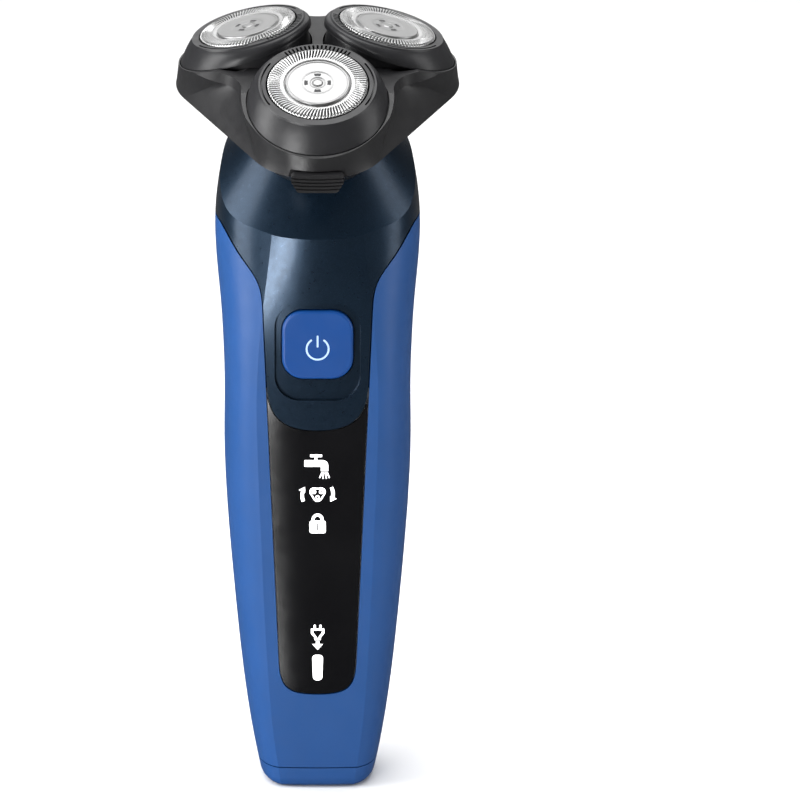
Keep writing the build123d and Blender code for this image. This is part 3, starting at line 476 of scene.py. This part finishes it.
# Tap with running water: clean under the tap.
tap_handle = rounded(-1.6, 78.15, 0.95, 78.72, 0.12)
tap_stem = [(-0.62, 77.3), (-0.10, 77.3), (-0.10, 78.2), (-0.62, 78.2)]
tap_spout = [(-2.85, 75.95), (0.72, 75.95), (0.72, 74.95), (2.28, 74.95)]
tap_spout += arc(1.05, 76.2, 1.23, 0, 90, 12) + [(-2.85, 77.43)]
DROP_TOP, DROP_WIDTH = 74.65, 0.26
drop_ends = ((0.95, 0.45, 73.4), (1.32, 1.12, 73.25), (1.7, 1.9, 73.25), (2.06, 2.56, 73.4))
drops = [stroke([(top, DROP_TOP), (foot, low)], DROP_WIDTH) for top, foot, low in drop_ends]

# Three heads between two turning arrows: replace the heads.
LOBE_X, LOBE_HIGH, LOBE_LOW = 0.78, 70.22, 68.98
outer_trefoil = arc(LOBE_X, LOBE_HIGH, 0.98, -35, 112) + arc(-LOBE_X, LOBE_HIGH, 0.98, 68, 215)
outer_trefoil += arc(0, LOBE_LOW, 1.02, 208, 332)
inner_trefoil = arc(LOBE_X, LOBE_HIGH, 0.68, -35, 118) + arc(-LOBE_X, LOBE_HIGH, 0.68, 62, 215)
inner_trefoil += arc(0, LOBE_LOW, 0.72, 205, 335)
heads = [outer_trefoil, inner_trefoil]
for x, z in ((-LOBE_X, LOBE_HIGH), (LOBE_X, LOBE_HIGH), (0, LOBE_LOW)):
    heads += [circle(x, z, 0.47), circle(x, z, 0.24)]
ARROW_RADIUS, ARROW_WIDTH = 3.15, 0.72
left_arrow = stroke(arc(-0.2, 69.35, ARROW_RADIUS, 152, 204, 12), ARROW_WIDTH)
left_tip = [(-4.05, 70.65), (-2.75, 71.35), (-2.72, 70.0)]
right_arrow = stroke(arc(0.2, 69.75, ARROW_RADIUS, 28, -24, 12), ARROW_WIDTH)
right_tip = [(2.75, 67.95), (4.1, 68.65), (2.72, 69.3)]

# Padlock: travel lock.
lock_body = rounded(-1.76, 60.75, 1.76, 63.62, 0.5)
keyhole = rounded(-0.14, 61.35, 0.14, 62.95, 0.13, 4)
SHACKLE_Z, SHACKLE_FOOT, SHACKLE_OUTER, SHACKLE_INNER = 63.95, 63.5, 1.28, 0.66
shackle = arc(0, SHACKLE_Z, SHACKLE_OUTER, 0, 180)
shackle += [(-SHACKLE_OUTER, SHACKLE_FOOT), (-SHACKLE_INNER, SHACKLE_FOOT)]
shackle += arc(0, SHACKLE_Z, SHACKLE_INNER, 180, 0)
shackle += [(SHACKLE_INNER, SHACKLE_FOOT), (SHACKLE_OUTER, SHACKLE_FOOT)]

# Plug, arrow and bar: charge now.
plug_outer = both_sides([(1.45, 38.5), (1.45, 37.35), (0.72, 36.45), (0.66, 35.8)])
plug_inner = both_sides([(0.98, 38.05), (0.92, 37.5), (0.28, 36.65), (0.24, 36.3)])
prongs = [rounded(x - 0.24, 38.3, x + 0.24, 39.4, 0.2, 4) for x in (-0.62, 0.62)]
charge_arrow = both_sides([(0.36, 35.55), (0.36, 34.85), (1.15, 34.85)], tip=(0, 33.5))
BAR_LOW, BAR_HIGH = 27.05, 31.45
charge_bar = arc(0.2, BAR_LOW, 0.82, -90, 0, 8) + arc(0.35, BAR_HIGH, 0.83, 0, 90, 8)
charge_bar += arc(-0.35, BAR_HIGH, 0.83, 90, 180, 8) + arc(-0.2, BAR_LOW, 0.82, 180, 270, 8)

for name, outlines in {
    "legend_tap_handle": [tap_handle],
    "legend_tap_stem": [tap_stem],
    "legend_tap_spout": [tap_spout],
    "legend_drops": drops,
    "legend_heads": heads,
    "legend_turn_left": [left_arrow],
    "legend_turn_left_tip": [left_tip],
    "legend_turn_right": [right_arrow],
    "legend_turn_right_tip": [right_tip],
    "legend_lock_body": [lock_body, keyhole],
    "legend_lock_shackle": [shackle],
    "legend_plug": [plug_outer, plug_inner],
    "legend_plug_prongs": prongs,
    "legend_charge_arrow": [charge_arrow],
    "legend_charge_bar": [charge_bar],
}.items():
    legend(name, outlines, display, "handle", LEGEND)

POWER_Z, POWER_OUTER, POWER_INNER = 102.5, 2.55, 2.15
power_ring = arc(0, POWER_Z, POWER_OUTER, 122, 418, 48) + arc(0, POWER_Z, POWER_INNER, 418, 122, 48)
power_bar = rounded(-0.2, POWER_Z + 0.35, 0.2, POWER_Z + 3.0, 0.19, 6)
for name, outline in {"power_ring": power_ring, "power_bar": power_bar}.items():
    legend(name, [outline], button, "power_button", POWER_LEGEND, 0.03)


# ---- stage --------------------------------------------------------------------------------------------
def area_light(name, location, target, size, power):
    """White rectangular light of that size in metres and power in watts, turned to the target."""
    light = bpy.data.lights.new(name, "AREA")
    light.shape = "RECTANGLE"
    light.size, light.size_y = size
    light.energy = power
    made = bpy.data.objects.new(name, light)
    made.location = location
    made.rotation_euler = (Vector(target) - Vector(location)).to_track_quat("-Z", "Y").to_euler()
    bpy.context.scene.collection.objects.link(made)
    return made


floor_graph = Graph("studio_floor", Roughness=0.9)
floor_tint = floor_graph.mix(floor_graph.noise(3.0), rgb(0.95, 0.95, 0.95), rgb(0.98, 0.98, 0.98))
floor_graph.feed("Base Color", floor_tint)
corners = [(-4, -4, 0), (4, -4, 0), (4, 6, 0), (-4, 6, 0)]
floor = mesh_object("floor", corners, [(0, 1, 2, 3)], floor_graph.material, smooth=False)
floor.visible_glossy = False

world = bpy.data.worlds.new("studio")
bpy.context.scene.world = world
world.use_nodes = True
background = world.node_tree.nodes["Background"]
background.inputs["Color"].default_value = rgb(1, 1, 1)
background.inputs["Strength"].default_value = 0.12

# The overhead light only lights: what the shaver mirrors is the cards and strips.
overhead = bpy.data.lights.new("overhead", "SUN")
overhead.energy = 2.75
overhead.angle = radians(80)
overhead_object = bpy.data.objects.new("overhead", overhead)
overhead_object.rotation_euler = (radians(8), radians(-14), 0)
overhead_object.visible_glossy = False
bpy.context.scene.collection.objects.link(overhead_object)

HEAD_POINT, WAIST_POINT = (0, 0, 0.17), (0, 0, 0.12)
area_light("strip_left", (-0.55, -0.14, 0.26), WAIST_POINT, (0.30, 0.6), 3.2)
area_light("strip_right", (0.57, -0.12, 0.26), WAIST_POINT, (0.22, 0.6), 1.1)
area_light("top_card", (0, 0.12, 0.85), HEAD_POINT, (0.6, 0.42), 2.8)
area_light("back_card", (0, 1.0, 0.85), HEAD_POINT, (1.3, 0.8), 3.4)
area_light("front_card", (-0.36, -0.58, -0.03), (-0.06, 0, 0.10), (0.28, 0.5), 5.0)

# Soft sheen down the left of the display and of the housing, each from a card that lights that piece alone.
for name, piece, place, aim, size, power in (
    ("display_card", display, (-0.22, -0.62, -0.12), (-0.16, 0, 0.06), (0.28, 0.45), 14.0),
    ("housing_card", nodes["front_housing"], (-0.29, -0.56, -0.07), (-0.10, 0, 0.10), (0.22, 0.45), 2.4),
):
    receivers = bpy.data.collections.new(f"{name}_receivers")
    receivers.objects.link(piece)
    area_light(name, place, aim, size, power).light_linking.receiver_collection = receivers

CAMERA_PLACE, CAMERA_DOWN = (0, -0.6671, 0.26266), radians(14.8)
camera_data = bpy.data.cameras.new("camera")
camera_data.lens = 140.9
camera_data.sensor_width = 36.0
camera_data.shift_x = 0.103
camera_data.clip_end = 20.0
camera = bpy.data.objects.new("camera", camera_data)
camera.location = CAMERA_PLACE
camera.rotation_euler = (pi / 2 - CAMERA_DOWN, 0, 0)
bpy.context.scene.collection.objects.link(camera)
bpy.context.scene.camera = camera
bpy.context.scene.view_settings.view_transform = "Standard"
